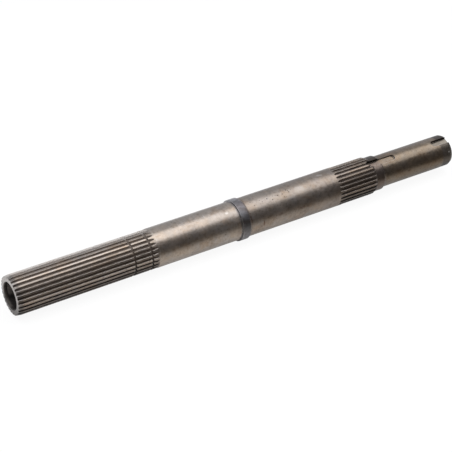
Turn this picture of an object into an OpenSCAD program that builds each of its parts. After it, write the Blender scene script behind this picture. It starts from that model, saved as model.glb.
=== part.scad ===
// Splined drive shaft, turned from one bar, lying along X on its collar.
// Lengths are in millimetres and are measured from the hollow end.

/* [Shaft] */
// Overall length
shaft_length = 457; // [420:0.5:500]
// Diameter of the ground running surfaces on both sides of the collar
main_d = 36; // [34:0.1:40]
// Where the ground surface begins after the long spline
main_start = 134.6; // [134:0.1:145]
// Where the ground surface ends, in the run-outs of the short spline
main_end = 330; // [328:0.1:335]

/* [Bore] */
// Diameter of the bore in the hollow end
bore_d = 24.5; // [16:0.1:28]
// Depth of the full bore, without its drill point
bore_depth = 60; // [20:0.5:100]
// Included angle of the drill point
drill_angle = 118; // [90:1:140]
// Broken edge at the mouth of the bore
bore_chamfer = 0.6; // [0.1:0.1:1.5]

/* [Splines] */
// Number of teeth on both splines
teeth = 27; // [24:1:30]
// Width of a gap across the tooth tips
gap_top = 2.6; // [2:0.05:2.8]
// Width of a gap at its floor
gap_floor = 1.15; // [0.8:0.05:1.6]
// Outer diameter of the long spline
long_spline_d = 35.56; // [35:0.02:35.9]
// Depth of a gap in the long spline
long_gap_depth = 1.4; // [1:0.05:1.6]
// Radius of the cutter that leaves the curved run-outs of the long spline
long_cutter_r = 14; // [10:0.5:16]
// End of the run-outs of the long spline
long_spline_end = 133.2; // [131:0.1:134]
// Turn of the long spline, up from the front
long_spline_angle = 33.3; // [0:0.1:90]
// Length of the lead-in on the teeth at the hollow end
lead_length = 4; // [1:0.1:6]
// Drop of the tooth tips over that lead-in
lead_drop = 0.6; // [0.2:0.05:1.2]
// Outer diameter of the short spline
short_spline_d = 35.6; // [35.5:0.02:35.9]
// Depth of a gap in the short spline
short_gap_depth = 1.25; // [0.9:0.05:1.25]
// Radius of the cutter that leaves the curved run-outs of the short spline
short_cutter_r = 7.5; // [6:0.5:12]
// Start of the run-outs of the short spline
short_spline_start = 324.6; // [320:0.1:327]
// End of the full teeth of the short spline
short_spline_end = 364.5; // [360:0.1:370]
// Turn of the short spline, up from the front
short_spline_angle = 32.1; // [0:0.1:90]
// Length of the sloped tooth ends of the short spline
tooth_end_length = 2.6; // [2:0.1:5]

/* [Ring grooves] */
// Middle of the first ring groove
ring_groove_1 = 110.3; // [105:0.1:115]
// Middle of the second ring groove
ring_groove_2 = 127.1; // [123:0.1:129]
// Width of a ring groove
ring_groove_w = 1.9; // [1.2:0.05:2.5]
// Diameter at the floor of a ring groove
ring_groove_d = 33; // [31:0.1:34]

/* [Collar] */
// Diameter of the collar
collar_d = 38.5; // [37.5:0.1:44]
// Sharp face of the collar
collar_start = 218; // [210:0.1:225]
// Width of the full collar
collar_w = 7.8; // [6:0.1:14]
// Length of the slope behind the collar
collar_slope = 1.3; // [1:0.1:4]
// Broken edge on the sharp side of the collar
collar_edge = 0.25; // [0.1:0.05:0.6]
// Width of the undercut in front of the collar
undercut_w = 0.9; // [0.5:0.1:2]
// Depth of the undercut in front of the collar
undercut_depth = 0.3; // [0.1:0.05:0.8]

/* [Shoulder and end journal] */
// Diameter of the shoulder after the short spline
shoulder_d = 33; // [32:0.1:33]
// End of the straight shoulder
shoulder_end = 375.5; // [372:0.1:380]
// Length of the hollow slope from the shoulder to the journal
cone_length = 3.6; // [2:0.1:6]
// Diameter of the end journal
journal_d = 30; // [28:0.05:31.5]
// Length of the slightly smaller lead on the end journal
end_lead = 11; // [8:0.1:14]
// How much smaller that lead is in diameter
end_lead_drop = 0.14; // [0.05:0.01:0.3]
// Length of the end chamfer
end_chamfer_length = 2.4; // [1:0.1:4]
// Drop of the end chamfer in radius
end_chamfer_drop = 1.1; // [0.5:0.05:2]

/* [Keyway and end slot] */
// Width of the keyway and of the end slot
slot_w = 6.4; // [4:0.1:8]
// Turn of the keyway and the end slot, up from the front
slot_angle = 71; // [0:0.5:90]
// Start of the keyway, in the short spline
keyway_start = 361.6; // [355:0.1:364]
// End of the keyway, in the end journal
keyway_end = 394.1; // [390:0.1:400]
// Distance of the keyway's floor from the axis
keyway_floor = 13.6; // [12.5:0.05:13.8]
// Length of the open slot at the end
end_slot_length = 19; // [12:0.1:24]
// Distance of the end slot's floor from the axis
end_slot_floor = 12.2; // [11.5:0.05:13.5]

/* [Hidden] */
$fn = 96;
// Radii of the turned form
main_r = main_d / 2;
long_r = long_spline_d / 2;
short_r = short_spline_d / 2;
collar_r = collar_d / 2;
shoulder_r = shoulder_d / 2;
journal_r = journal_d / 2;
lead_r = journal_r - end_lead_drop / 2;
groove_r = ring_groove_d / 2;
bore_r = bore_d / 2;
// Height of the axis above the floor that the collar lies on
axis_z = collar_r;
// Length of the step from the long spline up to the ground surface
step_length = 0.3;
// Height of the hollow slope above the journal where it flattens
cone_rest = (shoulder_r - journal_r) * 0.24;
// Turn that keeps the seam of the turned faces off the line the collar lies on
seam_turn = 5.4;
// Plays that keep neighbouring cutters from sharing a face
tool_past = 1;
floor_play = 0.02;
// Positions that follow from the values above
collar_end = collar_start + collar_w;
tooth_end = short_spline_end + tooth_end_length;
cone_end = shoulder_end + cone_length;
lead_start = shaft_length - end_lead;
chamfer_start = shaft_length - end_chamfer_length;
long_root_r = long_r - long_gap_depth;
short_root_r = short_r - short_gap_depth;
drill_point = bore_r / tan(drill_angle / 2);

// Turned outline from the hollow end to the slotted end, as radius and length
module turned_form() {
    rotate_extrude()
        polygon([
            [0, 0],
            [long_r - lead_drop, 0],
            [long_r, lead_length],
            [long_r, ring_groove_1 - ring_groove_w / 2],
            [groove_r, ring_groove_1 - ring_groove_w / 2],
            [groove_r, ring_groove_1 + ring_groove_w / 2],
            [long_r, ring_groove_1 + ring_groove_w / 2],
            [long_r, ring_groove_2 - ring_groove_w / 2],
            [groove_r, ring_groove_2 - ring_groove_w / 2],
            [groove_r, ring_groove_2 + ring_groove_w / 2],
            [long_r, ring_groove_2 + ring_groove_w / 2],
            [long_r, main_start - step_length],
            [main_r, main_start],
            [main_r, collar_start - undercut_w],
            [main_r - undercut_depth, collar_start - undercut_w],
            [main_r - undercut_depth, collar_start - undercut_depth],
            [main_r, collar_start],
            [collar_r - collar_edge, collar_start],
            [collar_r, collar_start + collar_edge],
            [collar_r, collar_end],
            [main_r, collar_end + collar_slope],
            [main_r, main_end],
            [short_r, main_end + step_length],
            [short_r, short_spline_end],
            [shoulder_r, tooth_end],
            [shoulder_r, shoulder_end],
            [journal_r + cone_rest, shoulder_end + cone_length * 0.36],
            [journal_r, cone_end],
            [journal_r, lead_start],
            [lead_r, lead_start + step_length],
            [lead_r, chamfer_start],
            [lead_r - end_chamfer_drop, shaft_length],
            [0, shaft_length]
        ]);
}

// Bore with its drill point and a broken edge at the mouth
module bore() {
    rotate_extrude()
        polygon([
            [0, -tool_past],
            [bore_r + bore_chamfer + tool_past, -tool_past],
            [bore_r, bore_chamfer],
            [bore_r, bore_depth],
            [0, bore_depth + drill_point]
        ]);
}

// Section of one gap: x runs out from the axis and the gap opens outwards
module gap_section(root_r, depth, past) {
    spread = (gap_top - gap_floor) / 2 / depth;
    polygon([
        [root_r, -gap_floor / 2],
        [root_r + depth + past, -gap_top / 2 - past * spread],
        [root_r + depth + past, gap_top / 2 + past * spread],
        [root_r, gap_floor / 2]
    ]);
}

// Disc cutter standing where the full gap stops; it leaves the curved run-out
module gap_runout(root_r, depth, cutter_r) {
    spread = (gap_top - gap_floor) / 2 / depth;
    rim = cutter_r - floor_play;
    inner = cutter_r - depth - tool_past;
    translate([root_r + cutter_r, 0, 0])
        rotate([90, 0, 0])
            rotate_extrude()
                polygon([
                    [0, -gap_floor / 2 - (cutter_r - inner) * spread],
                    [inner, -gap_floor / 2 - (cutter_r - inner) * spread],
                    [rim, -gap_floor / 2],
                    [rim, gap_floor / 2],
                    [inner, gap_floor / 2 + (cutter_r - inner) * spread],
                    [0, gap_floor / 2 + (cutter_r - inner) * spread]
                ]);
}

// Gaps of the long spline, open at the hollow end
module long_spline_gaps() {
    runout = sqrt(pow(long_cutter_r, 2) - pow(long_cutter_r - long_gap_depth, 2));
    full_end = long_spline_end - runout;
    for (i = [0 : teeth - 1])
        rotate([0, 0, i * 360 / teeth - 90 - long_spline_angle]) {
            translate([0, 0, -tool_past])
                linear_extrude(height = full_end + tool_past)
                    gap_section(long_root_r, long_gap_depth, tool_past);
            translate([0, 0, full_end])
                gap_runout(long_root_r, long_gap_depth, long_cutter_r);
        }
}

// Gaps of the short spline, open at the shoulder
module short_spline_gaps() {
    runout = sqrt(pow(short_cutter_r, 2) - pow(short_cutter_r - short_gap_depth, 2));
    full_start = short_spline_start + runout;
    for (i = [0 : teeth - 1])
        rotate([0, 0, i * 360 / teeth - 90 - short_spline_angle]) {
            translate([0, 0, full_start])
                linear_extrude(height = tooth_end + tool_past - full_start)
                    gap_section(short_root_r, short_gap_depth, tool_past);
            translate([0, 0, full_start])
                gap_runout(short_root_r, short_gap_depth, short_cutter_r);
        }
}

// Straight slot milled to a flat floor, with round ends
module milled_slot(from, to, floor_r) {
    height = collar_r + tool_past - floor_r;
    rotate([0, 0, -90 - slot_angle])
        translate([floor_r, 0, 0])
            rotate([0, 90, 0]) {
                translate([-to, -slot_w / 2, 0])
                    translate([slot_w / 2, 0, 0])
                        cube([to - from - slot_w, slot_w, height]);
                translate([-from - slot_w / 2, 0, 0])
                    cylinder(h = height, d = slot_w);
                translate([-to + slot_w / 2, 0, 0])
                    cylinder(h = height, d = slot_w);
            }
}

// The shaft, one solid, laid along X
module shaft() {
    color([0.52, 0.48, 0.44])
        translate([-shaft_length / 2, 0, axis_z])
            rotate([0, 90, 0])
                difference() {
                    rotate([0, 0, seam_turn]) turned_form();
                    bore();
                    long_spline_gaps();
                    short_spline_gaps();
                    milled_slot(keyway_start, keyway_end, keyway_floor);
                    milled_slot(
                        shaft_length - end_slot_length,
                        shaft_length + slot_w,
                        end_slot_floor
                    );
                }
}

shaft();
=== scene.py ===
import math
import bpy
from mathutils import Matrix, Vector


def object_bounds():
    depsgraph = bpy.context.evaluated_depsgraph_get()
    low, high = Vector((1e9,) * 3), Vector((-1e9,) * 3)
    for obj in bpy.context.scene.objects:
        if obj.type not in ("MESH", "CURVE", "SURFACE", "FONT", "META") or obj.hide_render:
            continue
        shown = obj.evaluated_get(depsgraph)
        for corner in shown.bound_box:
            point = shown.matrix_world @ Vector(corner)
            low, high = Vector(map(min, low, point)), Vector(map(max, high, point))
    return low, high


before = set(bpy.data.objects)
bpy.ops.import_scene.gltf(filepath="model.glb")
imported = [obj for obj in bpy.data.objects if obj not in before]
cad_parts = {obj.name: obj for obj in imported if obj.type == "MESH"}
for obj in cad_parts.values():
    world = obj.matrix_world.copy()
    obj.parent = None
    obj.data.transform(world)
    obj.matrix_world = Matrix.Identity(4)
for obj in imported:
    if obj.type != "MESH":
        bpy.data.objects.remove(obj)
cad_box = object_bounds()

scene = bpy.context.scene
scene.view_settings.view_transform = "Standard"

# The shaft's axis and half its length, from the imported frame, in metres
AXIS_Z = (cad_box[0][2] + cad_box[1][2]) / 2
HALF = (cad_box[1][0] - cad_box[0][0]) / 2

# Sizes on the shaft are in millimetres, and places along it are measured from its hollow end
MM = 1000.0
LENGTH = 2 * HALF * MM
KEYWAY = (361.6, 394.1)
END_SLOT_START = 438.0
SLOT_HALF_WIDTH = 3.2

# Distances from the axis
BORE_RADIUS = 12.25
GROOVE_RADIUS = 16.5
TIP_RADIUS = 17.78
MAIN_RADIUS = 18.0
MEAN_RADIUS = 17.5
KEYWAY_FLOOR = 13.6
END_SLOT_FLOOR = 12.2

# Turns around the axis are in degrees, up from the front: a gap of each spline, and the slots
TOOTH_PITCH = 360 / 27
LONG_GAP_TURN = 33.3
SHORT_GAP_TURN = 32.1
SLOT_TURN = math.radians(71.0)

# Stretches of the shaft: from where, to where, and how softly they end
COLLAR = (217.8, 226.0, 0.3)
SHORT_TEETH = (324.5, 367.0, 0.3)
FULL_SHORT_TEETH = (331.0, 366.0, 2.0)
SHOULDER = (366.8, 376.0, 0.6)
END_JOURNAL = (380.0, 445.0, 1.0)
PITTED_STRETCH = (234.0, 278.0, 7.0)
HAZY_STRETCH = (184.0, 332.0, 14.0)
BORE_RING_STRETCH = (6.8, 9.5, 0.8)

# Places over which something begins or ends along the shaft
LONG_TEETH_END = (133.6, 133.9)
# where the dust with a painted sheen on top of the long spline ends
DUST_AND_SHEEN_END = (128.0, 134.0)
HOLLOW_END_DIRT = (14.0, 2.0)
RUN_OUT_DIRT = (320.0, 325.0)
SLOT_FLOOR_BLEND = (440.0, 453.0)
HAZY_END = (444.0, 447.0)
# where the painted dark reflection above the end slot begins
DARK_REFLECTION_END = (445.5, 446.5)
END_BAND = (445.6, 446.4)
BORE_MOUTH_END = (1.4, 3.2)
BORE_PALE_STRIPE_START = (2.6, 4.0)
# painted shade: the bore darkens from here inwards
BORE_SHADE_DEEPENS = (10.0, 26.0)
BORE_END = (72.0, 74.0)

# Turns between which a patch lies, and how softly it ends
# painted light: gap dirt is narrower where the teeth are lit
LIT_TEETH = (27.0, 62.0, 6.0)
# painted shade on the teeth just above the highlight
TEETH_SHADE_ABOVE_HIGHLIGHT = (78.0, 98.0, 6.0)
# painted shade on the teeth at the highlight's lower edge
HIGHLIGHT_EDGE = (50.0, 57.0, 2.0)
SHORT_TEETH_FRONT = (8.0, 46.0, 5.0)
# painted shade on the collar's front
COLLAR_FRONT_SHADE = (-14.0, 36.0, 10.0)
END_BAND_FRONT = (34.0, 54.0, 5.0)
PITTED_TURNS = (54.0, 76.0, 5.0)
# dust with a painted sheen on top of the long spline
DUST_AND_SHEEN_TOP = (98.0, 128.0, 10.0)
BORE_FOOT = (-100.0, 20.0, 12.0)
RING_FACE_DARKER_TURNS = (-156.0, -118.0, 14.0)

# Turns over which a patch on top begins, and over which it ends behind
# painted highlight on the collar's top
COLLAR_TOP_HIGHLIGHT = ((86.0, 104.0), (130.0, 170.0))
# painted light: the gap dirt taken off on top of the teeth
TEETH_TOP_LIGHT = ((72.0, 100.0), (132.0, 165.0))
SHORT_TEETH_TOP = ((96.0, 110.0), (130.0, 170.0))
# painted dark reflection on top beside the slots
DARK_REFLECTION_TOP = ((73.0, 83.0), (118.0, 172.0))
# painted reflection: the end journal's top is paler
JOURNAL_TOP_REFLECTION = ((80.0, 94.0), (125.0, 160.0))

# Climbs, in degrees above the axis on either side, at which something begins and is full
# painted shade: gap dirt wider and darker on the underside
UNDERSIDE_SHADE = (14.0, -22.0)
# painted shade on the teeth's underside
TEETH_UNDERSIDE_SHADE = (2.0, -26.0)
# painted shade on the halves of the teeth that look down
LOWER_EDGE_SHADE_BELOW = (46.0, 36.0)
DULL_EDGES = (2.0, -30.0)
WORN_TEETH = (18.0, 44.0)
# painted shade on the underside of the end band
END_BAND_UNDERSIDE_SHADE = (-4.0, -34.0)

# Colours of the steel along the shaft
ZONES = [
    (0.0, (0.19, 0.18, 0.172)),
    (3.6, (0.20, 0.18, 0.165)),
    (5.0, (0.30, 0.26, 0.226)),
    (133.6, (0.29, 0.252, 0.218)),
    (134.8, (0.275, 0.238, 0.205)),
    (217.2, (0.272, 0.240, 0.212)),
    (217.7, (0.146, 0.141, 0.145)),
    (225.8, (0.146, 0.141, 0.145)),
    (226.4, (0.15, 0.125, 0.113)),
    (228.0, (0.230, 0.201, 0.177)),
    (231.0, (0.236, 0.206, 0.181)),
    (265.0, (0.228, 0.199, 0.174)),
    (290.0, (0.206, 0.178, 0.154)),
    (325.0, (0.200, 0.167, 0.142)),
    (331.0, (0.18, 0.148, 0.123)),
    (364.0, (0.18, 0.148, 0.123)),
    (367.0, (0.112, 0.091, 0.080)),
    (375.5, (0.118, 0.095, 0.082)),
    (379.0, (0.158, 0.128, 0.099)),
    (445.0, (0.155, 0.125, 0.096)),
    (446.4, (0.106, 0.090, 0.077)),
    (457.0, (0.102, 0.090, 0.078)),
]

# Wear all over: which noise, where it begins and is full, its strength and what it multiplies the colour by
WEAR = [
    ("stain", 0.50, 0.66, 0.80, (0.84, 0.75, 0.66)),
    ("mottle", 0.42, 0.66, 1.00, (1.15, 1.15, 1.16)),
    ("hue", 0.50, 0.68, 0.90, (1.03, 0.99, 0.94)),
    ("hue", 0.50, 0.32, 0.90, (0.96, 1.00, 1.06)),
    ("fleck", 0.48, 0.36, 1.00, (0.78, 0.76, 0.74)),
    ("fleck", 0.52, 0.64, 1.00, (1.14, 1.14, 1.14)),
    ("scuff", 0.55, 0.75, 0.40, (0.74, 0.71, 0.68)),
    ("rings", 0.35, 0.70, 0.25, (0.74, 0.71, 0.68)),
]

# Single marks and painted glints: place along the shaft, turn, half length, half width, colour and strength
# pale spots, and painted glints
PALE_SPOT_AND_GLINT = (0.62, 0.60, 0.57)
RUST = (0.075, 0.035, 0.022)
DARK = (0.035, 0.028, 0.025)
MARKS_AND_GLINTS = [
    # painted glint in the highlight
    (207.0, 63.4, 1.6, 1.3, PALE_SPOT_AND_GLINT, 0.36),
    (285.0, 63.0, 7.5, 4.0, PALE_SPOT_AND_GLINT, 0.11),
    (309.6, 90.0, 2.2, 1.3, PALE_SPOT_AND_GLINT, 0.30),
    (313.0, 86.5, 1.2, 1.2, PALE_SPOT_AND_GLINT, 0.28),
    (240.4, -2.0, 0.9, 3.4, RUST, 0.75),
    (214.5, -5.0, 4.0, 4.5, RUST, 0.22),
    (227.4, 22.0, 1.6, 6.0, RUST, 0.45),
    (281.0, 8.0, 6.0, 1.6, RUST, 0.30),
    (258.0, 10.0, 5.0, 1.4, RUST, 0.28),
    (318.0, -8.0, 5.0, 5.0, DARK, 0.16),
    (406.0, 2.0, 2.6, 1.6, RUST, 0.30),
    (426.0, 8.0, 2.4, 1.3, RUST, 0.30),
    (418.7, 65.0, 0.8, 0.7, DARK, 0.60),
    (186.0, 79.0, 0.7, 2.6, PALE_SPOT_AND_GLINT, 0.25),
    # painted glint on the slotted end's chamfer
    (453.0, 22.5, 0.8, 1.1, PALE_SPOT_AND_GLINT, 0.9),
]

# Pits: cells to a millimetre, the share of cells that hold one, what the pitted patch adds to that share,
# the smallest radius and what chance adds to it, the faintest one and how far dirt covers them
PIT_CELLS = 0.42
PIT_SHARE = 0.012
PIT_EXTRA_SHARE = 0.40
PIT_RADIUS = 0.35
PIT_RADIUS_SPREAD = 0.45
PIT_FAINTEST = 0.4
PIT_COVER = 0.95

# Dirt in the tooth gaps: the turns from a gap's middle at which it is full and ends, what widens and narrows
# it, partly as painted shade below and painted light where teeth are lit, its share in the ring grooves, and
# the share taken off on top as painted light
LONG_GAP_DIRT = (1.7, 3.5)
SHORT_GAP_DIRT = (2.4, 4.1)
GAP_RAGGED = 0.4
GAP_WIDER_BELOW = 0.9
# painted light: how much narrower the gap dirt is where teeth are lit
GAP_NARROWER_IN_LIGHT = 1.1
GROOVE_DIRT = 0.8
# share of the gap dirt taken off on top, as painted light
TOP_LIGHT_SHARE = 0.75

# How far painted dark reflections, painted slot shade and dust with a painted sheen cover the steel
DARK_REFLECTION_COVER = (0.68, 0.80)
SLOT_SHADE_COVER = 0.75
SLOT_CORNER_SHADE_COVER = 0.8
DUST_AND_SHEEN_COVER = 0.5

# Colours of dirt, painted shade and dark reflections, dust with a painted sheen, and bare metal
WHITE = (1.0, 1.0, 1.0)
PIT_DIRT = (0.022, 0.019, 0.017)
# painted dark reflection above the slots
DARK_REFLECTION = (0.042, 0.033, 0.026)
GAP_DIRT = (0.070, 0.050, 0.038)
# gap dirt on the underside, darkened as painted shade
UNDERSIDE_DIRT_AND_SHADE = (0.02, 0.016, 0.014)
# painted shade along the slots' upper edges
SLOT_SHADE = (0.022, 0.018, 0.016)
SLOT_FLOOR_INNER = (0.135, 0.117, 0.097)
SLOT_FLOOR_OUTER = (0.165, 0.144, 0.119)
# pale dust, also a painted sheen on top of the long spline
DUST_AND_SHEEN = (0.42, 0.405, 0.39)
BARE_STEEL = (0.60, 0.555, 0.515)
BORE_MOUTH = (0.170, 0.151, 0.134)
BORE_WALL = (0.056, 0.049, 0.044)
BORE_RING = (0.120, 0.106, 0.094)
# painted shade deep in the bore
BORE_DEEP_SHADE = (0.023, 0.0195, 0.0175)
BORE_PALE_STRIPE = (0.34, 0.30, 0.27)
RING_FACE_FOOT = (0.125, 0.112, 0.104)
RING_FACE_TOP = (0.405, 0.376, 0.352)
END_FACE = (0.185, 0.166, 0.148)

# The part of the normal along the shaft over which a face counts as one of its two end faces
HOLLOW_END_FACING = (-0.7, -0.9)
SLOTTED_END_FACING = (0.85, 0.95)

# Edges: the cosine between the rounded and the flat normal at which bare metal begins and is full,
# how bare the edges are, and how much of that the underside takes away
EDGE_LEAN = (0.985, 0.86)
EDGE_BARE = 0.75
EDGE_DULLING = 0.85

# Roughness of the ground steel, and what flecks, haze and dirt add to it
GROUND_ROUGHNESS = (0.275, 0.325)
FLECK_ROUGHNESS = (0.015, 0.045)
HAZE_ROUGHNESS = 0.05
DIRT_ROUGHNESS = 0.25

# Rounding of the edges and depths of the relief, in metres
EDGE_RADIUS = 0.0007
WAVE_DEPTH = 0.00016
GRAIN_DEPTH = 0.00001
RING_DEPTH = 0.00006
RING_STRENGTH = 0.3
RING_SHARE = 0.4


class Nodes:
    """Short forms for building a node tree."""

    def __init__(self, tree):
        self.tree = tree
        tree.nodes.clear()

    def add(self, kind, props=None, **ins):
        """A new node with its properties, and its inputs by name."""
        node = self.tree.nodes.new(kind)
        for key, value in (props or {}).items():
            setattr(node, key, value)
        for key, value in ins.items():
            self.feed(node.inputs[key.replace("_", " ")], value)
        return node

    def feed(self, socket, value):
        """Links an output to the socket, or sets the socket to a number, a vector or a colour."""
        if isinstance(value, bpy.types.NodeSocket):
            self.tree.links.new(value, socket)
        elif socket.type == "RGBA":
            socket.default_value = (*value, 1.0)
        else:
            socket.default_value = value

    def math(self, operation, a, b=None, clamp=False):
        node = self.add("ShaderNodeMath", {"operation": operation, "use_clamp": clamp})
        self.feed(node.inputs[0], a)
        if b is not None:
            self.feed(node.inputs[1], b)
        return node.outputs[0]

    def plus(self, *values):
        total = values[0]
        for value in values[1:]:
            total = self.math("ADD", total, value)
        return total

    def times(self, *values):
        total = values[0]
        for value in values[1:]:
            total = self.math("MULTIPLY", total, value)
        return total

    def minus(self, a, b):
        return self.math("SUBTRACT", a, b)

    def flip(self, mask):
        """The rest of a mask."""
        return self.minus(1.0, mask)

    def step(self, value, lo, hi, out_lo=0.0, out_hi=1.0):
        """A smooth step from out_lo at lo to out_hi at hi, and level beyond them; lo may be above hi."""
        node = self.add("ShaderNodeMapRange", {"interpolation_type": "SMOOTHSTEP", "clamp": True})
        for socket, given in zip(node.inputs, (value, lo, hi, out_lo, out_hi)):
            self.feed(socket, given)
        return node.outputs[0]

    def drop(self, value, lo, hi):
        """1 up to lo, fading to 0 at hi."""
        return self.step(value, lo, hi, 1.0, 0.0)

    def hump(self, value, rise, fall):
        """A step up over the first pair of values and down again over the second one."""
        return self.times(self.step(value, *rise), self.drop(value, *fall))

    def band(self, value, lo, hi, soft):
        """1 between lo and hi, fading to 0 over soft on both sides."""
        return self.hump(value, (lo - soft, lo + soft), (hi - soft, hi + soft))

    def mix(self, factor, a, b, kind="MIX"):
        node = self.add("ShaderNodeMix", {"data_type": "RGBA", "blend_type": kind})
        self.feed(node.inputs[0], factor)
        self.feed(node.inputs[6], a)
        self.feed(node.inputs[7], b)
        return node.outputs[2]

    def tint(self, factor, colour, by):
        """The colour multiplied by another one, as far as factor says."""
        return self.mix(factor, colour, by, "MULTIPLY")

    def scaled(self, vector, x, y, z):
        node = self.add("ShaderNodeVectorMath", {"operation": "MULTIPLY"})
        self.feed(node.inputs[0], vector)
        self.feed(node.inputs[1], (x, y, z))
        return node.outputs[0]

    def noise(self, vector, scale, detail=3.0, rough=0.5, distortion=0.0):
        node = self.add("ShaderNodeTexNoise", {"noise_dimensions": "3D"}, Vector=vector, Scale=scale,
                        Detail=detail, Roughness=rough, Distortion=distortion)
        return node.outputs[0]

    def ramp(self, value, stops):
        """A colour between the stops, which are pairs of place and colour."""
        node = self.add("ShaderNodeValToRGB", Fac=value)
        items = node.color_ramp.elements
        while len(items) < len(stops):
            items.new(0.5)
        for item, (place, colour) in zip(items, stops):
            item.position = place
        for item, (place, colour) in zip(items, stops):
            item.color = (*colour, 1.0)
        return node.outputs[0]

    def bump(self, height, strength, distance, normal):
        node = self.add("ShaderNodeBump", Strength=strength, Distance=distance, Height=height, Normal=normal)
        return node.outputs[0]


def new_material(name):
    """An empty node material, and the short forms for its tree."""
    material = bpy.data.materials.new(name)
    material.use_nodes = True
    return material, Nodes(material.node_tree)


class Surface:
    """Places on the shaft and the noises that its steel is made from."""

    def __init__(self, n):
        coords = n.add("ShaderNodeTexCoord").outputs["Object"]
        place = n.add("ShaderNodeSeparateXYZ", Vector=coords)
        up = n.minus(place.outputs[2], AXIS_Z)
        front = n.times(place.outputs[1], -1.0)
        squares = n.plus(n.times(up, up), n.times(front, front))
        self.h = n.plus(n.times(place.outputs[0], MM), HALF * MM)
        self.up = n.times(up, MM)
        self.front = n.times(front, MM)
        self.radius = n.times(n.math("SQRT", squares), MM)
        self.turn = n.math("DEGREES", n.math("ARCTAN2", up, front))
        # Like the turn in front, and the same at each height behind
        self.climb = n.math("DEGREES", n.math("ARCSINE", n.math("DIVIDE", self.up, self.radius)))
        self.normal = n.add("ShaderNodeNewGeometry").outputs["Normal"]
        self.facing = n.add("ShaderNodeSeparateXYZ", Vector=self.normal).outputs[0]
        self.mottle = n.noise(coords, 60.0, 4.0, 0.62)
        self.stain = n.noise(n.scaled(coords, 30.0, 60.0, 60.0), 1.0, 5.0, 0.65, 0.8)
        self.hue = n.noise(coords, 95.0, 3.0, 0.6)
        self.fleck = n.noise(coords, 330.0, 5.0, 0.75)
        self.rings = n.noise(n.scaled(coords, 2600.0, 70.0, 70.0), 1.0, 2.0, 0.6)
        self.scuff = n.noise(n.scaled(coords, 240.0, 40.0, 40.0), 1.0, 3.0, 0.6)


class Masks:
    """Where each stretch, edge, kind of dirt, painted shade and painted light is: 1 there and 0 elsewhere.
    """

    def __init__(self, n, s):
        self.collar = n.band(s.h, *COLLAR)
        self.end_band = n.step(s.h, *END_BAND)
        self.long_teeth = n.drop(s.h, *LONG_TEETH_END)
        self.short_teeth = n.band(s.h, *SHORT_TEETH)
        self.full_short_teeth = n.band(s.h, *FULL_SHORT_TEETH)
        self.short_front = n.times(self.full_short_teeth, n.band(s.turn, *SHORT_TEETH_FRONT))
        self.toothed = n.math("ADD", self.long_teeth, self.short_teeth, clamp=True)
        # painted shade on the underside, carried by the gap dirt
        self.underside_shade = n.step(s.climb, *UNDERSIDE_SHADE)
        self.hollow_end = n.step(s.facing, *HOLLOW_END_FACING)
        self.gap, upper_edge = tooth_gaps(n, s, self)
        # painted shade on the halves of the teeth that look down
        self.lower_edge_shade = n.times(self.toothed, n.flip(upper_edge), n.step(s.climb, *LOWER_EDGE_SHADE_BELOW))
        # painted shade along the slots' upper edges, and the end slot's floor
        self.slot_edge, self.slot_floor = slot_shade_masks(n, s)
        # dust, also a painted sheen, on top of the long spline
        self.dust_and_sheen = n.times(n.drop(s.h, *DUST_AND_SHEEN_END), n.band(s.turn, *DUST_AND_SHEEN_TOP), DUST_AND_SHEEN_COVER)
        in_bore = n.drop(s.radius, BORE_RADIUS + 0.05, BORE_RADIUS + 0.35)
        self.inside = n.times(n.drop(s.h, *BORE_END), in_bore)
        self.pit = n.times(pits(n, s), n.flip(self.toothed))


def beside_gap(n, s, first_gap):
    """Turn from the middle of the nearest tooth gap, in degrees."""
    turns = n.math("DIVIDE", n.minus(s.turn, first_gap), TOOTH_PITCH)
    return n.times(n.minus(turns, n.math("ROUND", turns)), TOOTH_PITCH)


def tooth_gaps(n, s, m):
    """Masks of the dirt in gaps and ring grooves, widened below as painted shade, narrowed where teeth are
    lit and taken off on top as painted light, and of the halves of the teeth that look up.
    """
    ragged = n.step(s.mottle, 0.3, 0.7, -GAP_RAGGED, GAP_RAGGED)
    # narrower gap dirt where the teeth are lit, as painted light
    narrower = n.times(n.band(s.turn, *LIT_TEETH), -GAP_NARROWER_IN_LIGHT)
    # the gap dirt widens below as painted shade
    wider = n.plus(n.times(m.underside_shade, GAP_WIDER_BELOW), narrower, ragged)
    gaps = []
    besides = []
    for teeth, first_gap, (full, clean) in (
        (m.long_teeth, LONG_GAP_TURN, LONG_GAP_DIRT),
        (m.short_teeth, SHORT_GAP_TURN, SHORT_GAP_DIRT),
    ):
        beside = beside_gap(n, s, first_gap)
        dirty = n.drop(n.math("ABSOLUTE", beside), n.plus(wider, full), n.plus(wider, clean))
        gaps.append(n.times(teeth, dirty))
        besides.append(n.times(teeth, beside))
    upper_edge = n.step(n.times(n.plus(*besides), n.math("SIGN", s.front)), 0.5, -0.5)
    below_tips = n.drop(s.radius, TIP_RADIUS - 0.16, TIP_RADIUS - 0.04)
    grooves = n.times(m.long_teeth, n.drop(s.radius, GROOVE_RADIUS + 0.1, GROOVE_RADIUS + 0.7), GROOVE_DIRT)
    dirt = n.math("MAXIMUM", n.times(n.plus(*gaps), below_tips), grooves)
    # gap dirt taken off on top of the teeth, as painted light
    top_light = n.times(n.hump(s.turn, *TEETH_TOP_LIGHT), TOP_LIGHT_SHARE)
    return n.times(dirt, n.flip(m.hollow_end), n.flip(top_light)), upper_edge


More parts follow.
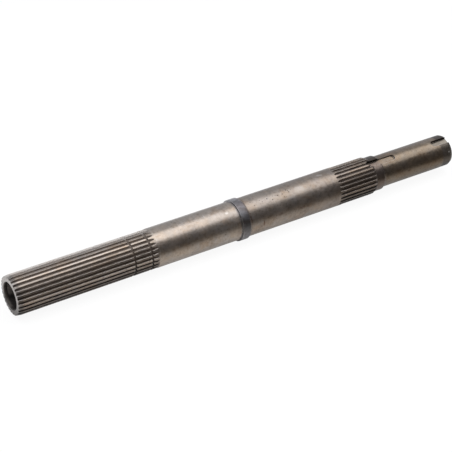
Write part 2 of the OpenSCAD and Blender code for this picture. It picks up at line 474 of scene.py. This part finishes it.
def slot_shade_masks(n, s):
    """Masks of the painted shade along the upper edge of the keyway and the end slot, and of the end slot's
    floor.
    """
    out = n.plus(n.times(s.front, math.cos(SLOT_TURN)), n.times(s.up, math.sin(SLOT_TURN)))
    across = n.minus(n.times(s.up, math.cos(SLOT_TURN)), n.times(s.front, math.sin(SLOT_TURN)))
    middle = (KEYWAY[0] + KEYWAY[1]) / 2
    straight = (KEYWAY[1] - KEYWAY[0]) / 2 - SLOT_HALF_WIDTH
    past_keyway = n.minus(n.math("ABSOLUTE", n.minus(s.h, middle)), straight)
    past_slot = n.minus(END_SLOT_START + SLOT_HALF_WIDTH, s.h)
    past = n.math("MAXIMUM", n.math("MINIMUM", past_keyway, past_slot), 0.0)
    # How far outside or inside the slot's wall, measured at right angles to it
    wall = n.minus(n.math("SQRT", n.plus(n.times(past, past), n.times(across, across))), SLOT_HALF_WIDTH)
    outside = n.step(out, END_SLOT_FLOOR - 1.2, END_SLOT_FLOOR - 0.7)
    low = n.drop(out, KEYWAY_FLOOR + 0.05, KEYWAY_FLOOR + 0.3)
    rim = n.times(n.band(wall, -0.2, 0.55, 0.2), n.step(across, -2.0, 1.5))
    # painted shade in the floor's corner beside the wall
    corner = n.times(n.hump(wall, (-0.45, -0.05), (0.0, 0.1)), n.step(across, 0.0, 2.5))
    edge = n.times(outside, n.math("MAXIMUM", rim, n.times(corner, low, SLOT_CORNER_SHADE_COVER)))
    past_start = n.step(s.h, END_SLOT_START, END_SLOT_START + 0.6)
    floor = n.times(outside, low, past_start, n.drop(wall, -1.0, -0.2))
    return edge, floor


def pits(n, s):
    """Small pits, close together on the upper side of the rear journal and rare elsewhere."""
    around = n.times(s.turn, MAIN_RADIUS * math.radians(1.0))
    unrolled = n.add("ShaderNodeCombineXYZ", X=s.h, Y=around).outputs[0]
    cells = n.add("ShaderNodeTexVoronoi", {"feature": "F1", "voronoi_dimensions": "2D"}, Vector=unrolled,
                  Scale=PIT_CELLS, Randomness=1.0)
    pick = n.add("ShaderNodeSeparateColor", Color=cells.outputs["Color"])
    worn = n.times(n.band(s.h, *PITTED_STRETCH), n.band(s.turn, *PITTED_TURNS))
    chance = n.minus(1.0 - PIT_SHARE, n.times(worn, PIT_EXTRA_SHARE))
    hit = n.math("GREATER_THAN", pick.outputs[0], chance)
    size = n.plus(n.times(pick.outputs[1], PIT_RADIUS_SPREAD * PIT_CELLS), PIT_RADIUS * PIT_CELLS)
    depth = n.plus(n.times(worn, 1.0 - PIT_FAINTEST), PIT_FAINTEST)
    return n.times(hit, depth, n.drop(n.math("DIVIDE", cells.outputs["Distance"], size), 0.6, 1.1))


def worn_colour(n, s):
    """Zone colours with stains, handling marks and the fine rings left by grinding."""
    colour = n.ramp(n.math("DIVIDE", s.h, LENGTH), [(place / LENGTH, zone) for place, zone in ZONES])
    for noise, begin, full, strength, by in WEAR:
        colour = n.tint(n.step(getattr(s, noise), begin, full, 0.0, strength), colour, by)
    return colour


def marks_and_glints(n, s, colour):
    """Pale spots, painted glints, rust and dark stains at their places."""
    ragged = n.step(s.fleck, 0.3, 0.7, -0.55, 0.55)
    for h, turn, half_length, half_width, paint, strength in MARKS_AND_GLINTS:
        along = n.math("DIVIDE", n.minus(s.h, h), half_length)
        around = n.times(n.minus(s.turn, turn), math.radians(1.0) * MEAN_RADIUS / half_width)
        away = n.math("SQRT", n.plus(n.times(along, along), n.times(around, around)))
        colour = n.mix(n.step(n.plus(away, ragged), 0.35, 1.15, strength, 0.0), colour, paint)
    return colour


def mottled_collar(n, s, m, colour):
    """The collar's pale and dark patches, with painted shade on its front and a painted highlight on its
    top.
    """
    for mask, by in (
        (n.step(s.hue, 0.46, 0.62), (1.35, 1.38, 1.45)),
        (n.step(s.stain, 0.42, 0.6), (0.68, 0.66, 0.67)),
        # painted shade on the front
        (n.band(s.turn, *COLLAR_FRONT_SHADE), (0.70, 0.70, 0.69)),
        # painted highlight on the top
        (n.hump(s.turn, *COLLAR_TOP_HIGHLIGHT), (1.68, 1.70, 1.66)),
    ):
        colour = n.tint(n.times(m.collar, mask), colour, by)
    return colour


def painted_dark_reflections(n, s, colour):
    """Painted dark reflections: black patches above the keyway and the end slot."""
    stretches = n.math("ADD", n.band(s.h, *SHOULDER), n.step(s.h, *DARK_REFLECTION_END), clamp=True)
    cover = n.step(s.h, SHOULDER[1], END_BAND[1], *DARK_REFLECTION_COVER)
    return n.mix(n.times(stretches, n.hump(s.turn, *DARK_REFLECTION_TOP), cover), colour, DARK_REFLECTION)


def shaded_end(n, s, m, colour):
    """The end journal's top, paler as a painted reflection, and its last stretch, darker below as painted
    shade and darker in front.
    """
    for mask, by in (
        # painted shade on the underside
        (n.times(m.end_band, n.step(s.climb, *END_BAND_UNDERSIDE_SHADE)), (0.33, 0.32, 0.31)),
        (n.times(m.end_band, n.band(s.turn, *END_BAND_FRONT)), (0.72, 0.72, 0.70)),
        # painted reflection on the end journal's top
        (n.times(n.band(s.h, *END_JOURNAL), n.hump(s.turn, *JOURNAL_TOP_REFLECTION)), (1.18, 1.19, 1.25)),
    ):
        colour = n.tint(mask, colour, by)
    return colour


def painted_teeth_shade(n, s, m, colour):
    """Painted shade on the teeth: on the underside, on their lower edges, just above the highlight and at
    its lower edge; the top of the short spline is darker and cooler.
    """
    for mask, by in (
        # painted shade on the underside
        (n.times(m.toothed, n.step(s.climb, *TEETH_UNDERSIDE_SHADE)), (0.36, 0.35, 0.35)),
        # painted shade just above the highlight
        (n.times(m.toothed, n.band(s.turn, *TEETH_SHADE_ABOVE_HIGHLIGHT)), (0.72, 0.71, 0.71)),
        # painted shade on the lower edges of the teeth
        (m.lower_edge_shade, (0.72, 0.70, 0.69)),
        # painted shade at the lower edge of the highlight
        (n.times(m.toothed, n.band(s.turn, *HIGHLIGHT_EDGE)), (0.80, 0.80, 0.80)),
        # darker and cooler on top of the short spline
        (n.times(m.full_short_teeth, n.hump(s.turn, *SHORT_TEETH_TOP)), (0.84, 0.89, 0.93)),
    ):
        colour = n.tint(mask, colour, by)
    return colour


def dirty_gaps(n, s, m, colour):
    """Dirt in the gaps and ring grooves, darker below as painted shade, and darker at the hollow end and on
    the short spline.
    """
    # darker dirt below as painted shade
    dirt = n.mix(m.underside_shade, GAP_DIRT, UNDERSIDE_DIRT_AND_SHADE)
    for mask, by in (
        (n.step(s.h, *RUN_OUT_DIRT), (0.55, 0.52, 0.50)),
        (n.step(s.h, *HOLLOW_END_DIRT), (0.4, 0.36, 0.36)),
        (n.step(s.mottle, 0.35, 0.65, 0.0, 0.6), (0.6, 0.56, 0.52)),
    ):
        dirt = n.tint(mask, dirt, by)
    return n.mix(m.gap, colour, dirt)


def slot_floor_and_shade(n, s, m, colour):
    """A pale floor in the end slot, and painted shade along the upper edge of both slots."""
    floor = n.mix(n.step(s.h, *SLOT_FLOOR_BLEND), SLOT_FLOOR_INNER, SLOT_FLOOR_OUTER)
    colour = n.mix(m.slot_floor, colour, floor)
    # painted shade along the upper edge of both slots
    return n.mix(n.times(m.slot_edge, SLOT_SHADE_COVER), colour, SLOT_SHADE)


def bore_colour(n, s):
    """The bore's wall: paler at the mouth, then darker inwards as painted shade, nearly black deep inside,
    with a pale stripe on the far side.
    """
    wall = n.mix(n.step(s.h, *BORE_MOUTH_END), BORE_MOUTH, BORE_WALL)
    wall = n.mix(n.band(s.h, *BORE_RING_STRETCH), wall, BORE_RING)
    # painted shade deeper inside
    wall = n.mix(n.step(s.h, *BORE_SHADE_DEEPENS), wall, BORE_DEEP_SHADE)
    wall = n.tint(n.step(s.mottle, 0.6, 0.4), wall, (0.35, 0.34, 0.32))
    wall = n.tint(n.band(s.turn, *BORE_FOOT), wall, (0.45, 0.43, 0.43))
    behind = n.times(n.band(s.up, -5.5, 4.5, 2.5), n.step(s.front, -8.0, -11.0))
    return n.mix(n.times(behind, n.hump(s.h, BORE_PALE_STRIPE_START, BORE_SHADE_DEEPENS)), wall, BORE_PALE_STRIPE)


def ring_face(n, s, m, colour):
    """The face around the bore, darker towards its foot."""
    face = n.mix(n.step(s.up, -13.0, 13.0), RING_FACE_FOOT, RING_FACE_TOP)
    face = n.tint(n.step(s.fleck, 0.55, 0.4), face, (0.7, 0.69, 0.68))
    face = n.tint(n.band(s.turn, *RING_FACE_DARKER_TURNS), face, (0.42, 0.40, 0.39))
    return n.mix(n.times(m.hollow_end, n.drop(s.h, 0.2, 0.5)), colour, face)


def slotted_end_face(n, s, colour):
    """The face at the slotted end, with rings from the turning tool."""
    mask = n.times(n.step(s.h, LENGTH - 0.4, LENGTH - 0.1), n.step(s.facing, *SLOTTED_END_FACING))
    across = n.add("ShaderNodeCombineXYZ", X=s.radius).outputs[0]
    face = n.tint(n.step(n.noise(across, 1.7, 4.0, 0.7), 0.40, 0.62), END_FACE, (0.66, 0.64, 0.62))
    face = n.tint(n.step(s.mottle, 0.45, 0.65), face, (0.74, 0.69, 0.64))
    face = n.tint(n.step(s.fleck, 0.5, 0.38), face, (0.6, 0.56, 0.52))
    return n.mix(mask, colour, face)


def bare_edges(n, s, m, rounded, colour):
    """Bare metal along the edges, but dark ones on the front of the short spline."""
    lean = n.add("ShaderNodeVectorMath", {"operation": "DOT_PRODUCT"})
    n.feed(lean.inputs[0], rounded)
    n.feed(lean.inputs[1], s.normal)
    edge = n.step(lean.outputs["Value"], *EDGE_LEAN)
    # edges stay dull below and under the painted slot shade
    dull = n.math("MAXIMUM", n.times(n.step(s.climb, *DULL_EDGES), EDGE_DULLING), m.slot_edge)
    worn = n.plus(n.times(m.toothed, n.step(s.climb, *WORN_TEETH, 0.10, -0.40)), EDGE_BARE)
    # no bare metal under the painted shade on the lower tooth edges
    bare = n.times(n.drop(m.gap, 0.0, 0.6), n.flip(dull), worn, n.flip(m.lower_edge_shade))
    colour = n.mix(n.times(edge, bare), colour, BARE_STEEL)
    return n.tint(n.times(edge, m.short_front), colour, (0.42, 0.41, 0.41))


def roughness(n, s, m):
    """Hazier around the collar and at the slotted end, and dull where dirt lies."""
    hazy = n.plus(n.band(s.h, *HAZY_STRETCH), n.step(s.h, *HAZY_END, 0.0, 1.2), m.collar)
    ground = n.step(s.mottle, 0.3, 0.7, *GROUND_ROUGHNESS)
    ground = n.plus(ground, n.times(hazy, HAZE_ROUGHNESS), n.step(s.fleck, 0.45, 0.6, *FLECK_ROUGHNESS))
    dirty = n.math("ADD", m.gap, m.inside, clamp=True)
    return n.math("ADD", ground, n.times(dirty, DIRT_ROUGHNESS), clamp=True)


def metal_share(n, m):
    """Metal, less so where dirt, dust with its painted sheen, and stain cover it."""
    covers = ((m.gap, 0.6), (m.dust_and_sheen, 0.9), (m.collar, 0.15), (m.end_band, 0.14))
    covered = n.plus(*[n.times(mask, share) for mask, share in covers])
    return n.math("SUBTRACT", 1.0, covered, clamp=True)


def relief(n, s, m, rounded):
    """Waves of the ground surface, its grain, fine rings and pits, on the rounded edges."""
    waves = n.bump(s.mottle, 1.0, WAVE_DEPTH, rounded)
    grain = n.bump(s.fleck, 1.0, GRAIN_DEPTH, waves)
    return n.bump(n.minus(n.times(s.rings, RING_SHARE), m.pit), RING_STRENGTH, RING_DEPTH, grain)


def steel():
    """Ground steel with its stains, dirt, worn edges and pits, and with painted shade, highlights, glints
    and reflections.
    """
    material, n = new_material("ground_steel")
    s = Surface(n)
    m = Masks(n, s)
    rounded = n.add("ShaderNodeBevel", {"samples": 8}, Radius=EDGE_RADIUS).outputs[0]
    colour = marks_and_glints(n, s, worn_colour(n, s))
    colour = n.mix(n.times(m.pit, PIT_COVER), colour, PIT_DIRT)
    colour = mottled_collar(n, s, m, colour)
    colour = painted_dark_reflections(n, s, colour)
    colour = shaded_end(n, s, m, colour)
    colour = painted_teeth_shade(n, s, m, colour)
    colour = dirty_gaps(n, s, m, colour)
    colour = slot_floor_and_shade(n, s, m, colour)
    # pale dust, also a painted sheen on top of the long spline
    colour = n.mix(m.dust_and_sheen, colour, DUST_AND_SHEEN)
    colour = n.mix(m.inside, colour, bore_colour(n, s))
    colour = ring_face(n, s, m, colour)
    colour = slotted_end_face(n, s, colour)
    colour = bare_edges(n, s, m, rounded, colour)
    shader = n.add("ShaderNodeBsdfPrincipled", Base_Color=colour, Metallic=metal_share(n, m),
                   Roughness=roughness(n, s, m), Normal=relief(n, s, m, rounded))
    n.add("ShaderNodeOutputMaterial", Surface=shader.outputs[0])
    return material


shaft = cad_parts["shaft"]
shaft.data.materials.clear()
shaft.data.materials.append(steel())

# Camera at the photograph's viewing angle, in metres and degrees
CAMERA_PLACE = (-0.61977, -0.97177, 0.76448)
CAMERA_TILT = 56.792
CAMERA_HEADING = -31.803
cam_data = bpy.data.cameras.new("camera")
cam_data.lens = 121.86
cam_data.sensor_width = 36.0
cam_data.clip_end = 50.0
cam = bpy.data.objects.new("camera", cam_data)
cam.location = CAMERA_PLACE
cam.rotation_euler = (math.radians(CAMERA_TILT), 0.0, math.radians(CAMERA_HEADING))
scene.collection.objects.link(cam)
scene.camera = cam

# The studio, in metres: a floor, a card just above it, and how both grow dim towards the slotted end
FLOOR_SPAN = (-6.0, 6.0)
FLOOR_HEIGHT = 0.0
CARD_ALONG = (-1.5, 2.5)
CARD_ACROSS = (-1.6, -0.022)
CARD_HEIGHT = 0.002
DIM_STRETCH = (0.08, 0.31)
DIMMEST = 0.66

# Greys of the floor, the share of the shaft's shadow that the camera sees, and how strongly the floor glows
FLOOR_GREY = (0.42, 0.46)
FLOOR_SHADOW_SHARE = 0.18
FLOOR_WHITE = 0.925
FLOOR_IN_MIRRORS = 0.50

# The card: its glow on the dark and on the bright side, and the fade between them, which starts nearer
# the shaft from one end of its stretch to the other
CARD_GLOW = (0.22, 1.06)
CARD_FADE_STRETCH = (0.0, 0.10)
CARD_FADE_START = (-0.105, -0.083)
CARD_FADE_END = -0.025
CARD_DARK_COLOUR = (1.0, 0.90, 0.79)
CARD_BRIGHT_COLOUR = (1.0, 0.965, 0.92)

# The room that reflects in the metal: dim on the camera's side, bright behind, a little brighter above
ROOM_BLEND = (-0.2, 0.45)
ROOM_GLOW = (0.16, 0.80)
ROOM_ABOVE = (0.3, 0.72)
ROOM_ABOVE_GLOW = 0.14
ROOM_FRONT_COLOUR = (1.0, 0.97, 0.985)
ROOM_BACK_COLOUR = (0.96, 0.99, 1.05)


def level_plate(name, along, across, height, material):
    """A flat level plate of the studio."""
    corners = [(along[i], across[j], height) for i, j in ((0, 0), (1, 0), (1, 1), (0, 1))]
    mesh = bpy.data.meshes.new(name)
    mesh.from_pydata(corners, [], [(0, 1, 2, 3)])
    mesh.materials.append(material)
    obj = bpy.data.objects.new(name, mesh)
    scene.collection.objects.link(obj)
    return obj


def dimmed_along(n, x):
    """The floor's light falls off towards the slotted end."""
    return n.step(x, *DIM_STRETCH, 1.0, DIMMEST)


def floor_material():
    """A floor that is white to the camera, keeps the shaft's shadow and shows in the metal."""
    material, n = new_material("white_floor")
    path = n.add("ShaderNodeLightPath").outputs
    camera = path["Is Camera Ray"]
    mirror = n.math("MAXIMUM", path["Is Glossy Ray"], path["Is Transmission Ray"])
    coords = n.add("ShaderNodeTexCoord").outputs["Object"]
    along = dimmed_along(n, n.add("ShaderNodeSeparateXYZ", Vector=coords).outputs[0])
    tone = n.step(n.noise(coords, 3.0), 0.3, 0.7, *FLOOR_GREY)
    tone = n.times(tone, n.flip(n.times(camera, 1.0 - FLOOR_SHADOW_SHARE)))
    tone = n.times(tone, n.math("MAXIMUM", along, camera))
    grey = n.add("ShaderNodeCombineColor", Red=tone, Green=tone, Blue=tone).outputs[0]
    diffuse = n.add("ShaderNodeBsdfDiffuse", Color=grey)
    strength = n.plus(n.times(camera, FLOOR_WHITE), n.times(mirror, along, FLOOR_IN_MIRRORS))
    glow = n.add("ShaderNodeEmission", Color=WHITE, Strength=strength)
    both = n.add("ShaderNodeAddShader")
    n.feed(both.inputs[0], diffuse.outputs[0])
    n.feed(both.inputs[1], glow.outputs[0])
    n.add("ShaderNodeOutputMaterial", Surface=both.outputs[0])
    return material


def card_material():
    """A card that glows beside the shaft and grows dark towards the camera."""
    material, n = new_material("graded_card")
    coords = n.add("ShaderNodeTexCoord").outputs["Object"]
    place = n.add("ShaderNodeSeparateXYZ", Vector=coords).outputs
    fade_start = n.step(place[0], *CARD_FADE_STRETCH, *CARD_FADE_START)
    fade = n.step(place[1], fade_start, CARD_FADE_END, *CARD_GLOW)
    colour = n.mix(n.step(fade, 0.3, 0.9), CARD_DARK_COLOUR, CARD_BRIGHT_COLOUR)
    glow = n.add("ShaderNodeEmission", Color=colour, Strength=n.times(dimmed_along(n, place[0]), fade))
    n.add("ShaderNodeOutputMaterial", Surface=glow.outputs[0])
    return material


level_plate("floor", FLOOR_SPAN, FLOOR_SPAN, FLOOR_HEIGHT, floor_material())

# The card in front of the shaft is seen only in reflections
card = level_plate("front_card", CARD_ALONG, CARD_ACROSS, CARD_HEIGHT, card_material())
card.visible_camera = False
card.visible_diffuse = False
card.visible_shadow = False
card.visible_transmission = False

# Long softbox overhead
light = bpy.data.lights.new("softbox", "AREA")
light.shape = "RECTANGLE"
light.size = 2.4
light.size_y = 0.78
light.energy = 15.4
light.color = (0.985, 1.0, 1.02)
box = bpy.data.objects.new("softbox", light)
box.location = (0.4, -0.106, 0.87)
box.rotation_euler = (0.0, 0.0, math.radians(3.0))
scene.collection.objects.link(box)


def studio_world():
    """White to the camera; otherwise a pale backdrop behind and a dark room on the camera's side."""
    world = bpy.data.worlds.new("world")
    world.use_nodes = True
    n = Nodes(world.node_tree)
    coords = n.add("ShaderNodeTexCoord").outputs["Generated"]
    way = n.add("ShaderNodeSeparateXYZ", Vector=coords).outputs
    camera = n.add("ShaderNodeLightPath").outputs["Is Camera Ray"]
    room = n.step(way[1], *ROOM_BLEND, *ROOM_GLOW)
    room = n.plus(room, n.step(way[2], *ROOM_ABOVE, 0.0, ROOM_ABOVE_GLOW))
    tone = n.mix(n.step(way[1], *ROOM_BLEND), ROOM_FRONT_COLOUR, ROOM_BACK_COLOUR)
    back = n.add("ShaderNodeBackground", Color=n.mix(camera, tone, WHITE),
                 Strength=n.math("MAXIMUM", room, camera))
    n.add("ShaderNodeOutputWorld", Surface=back.outputs[0])
    return world


scene.world = studio_world()
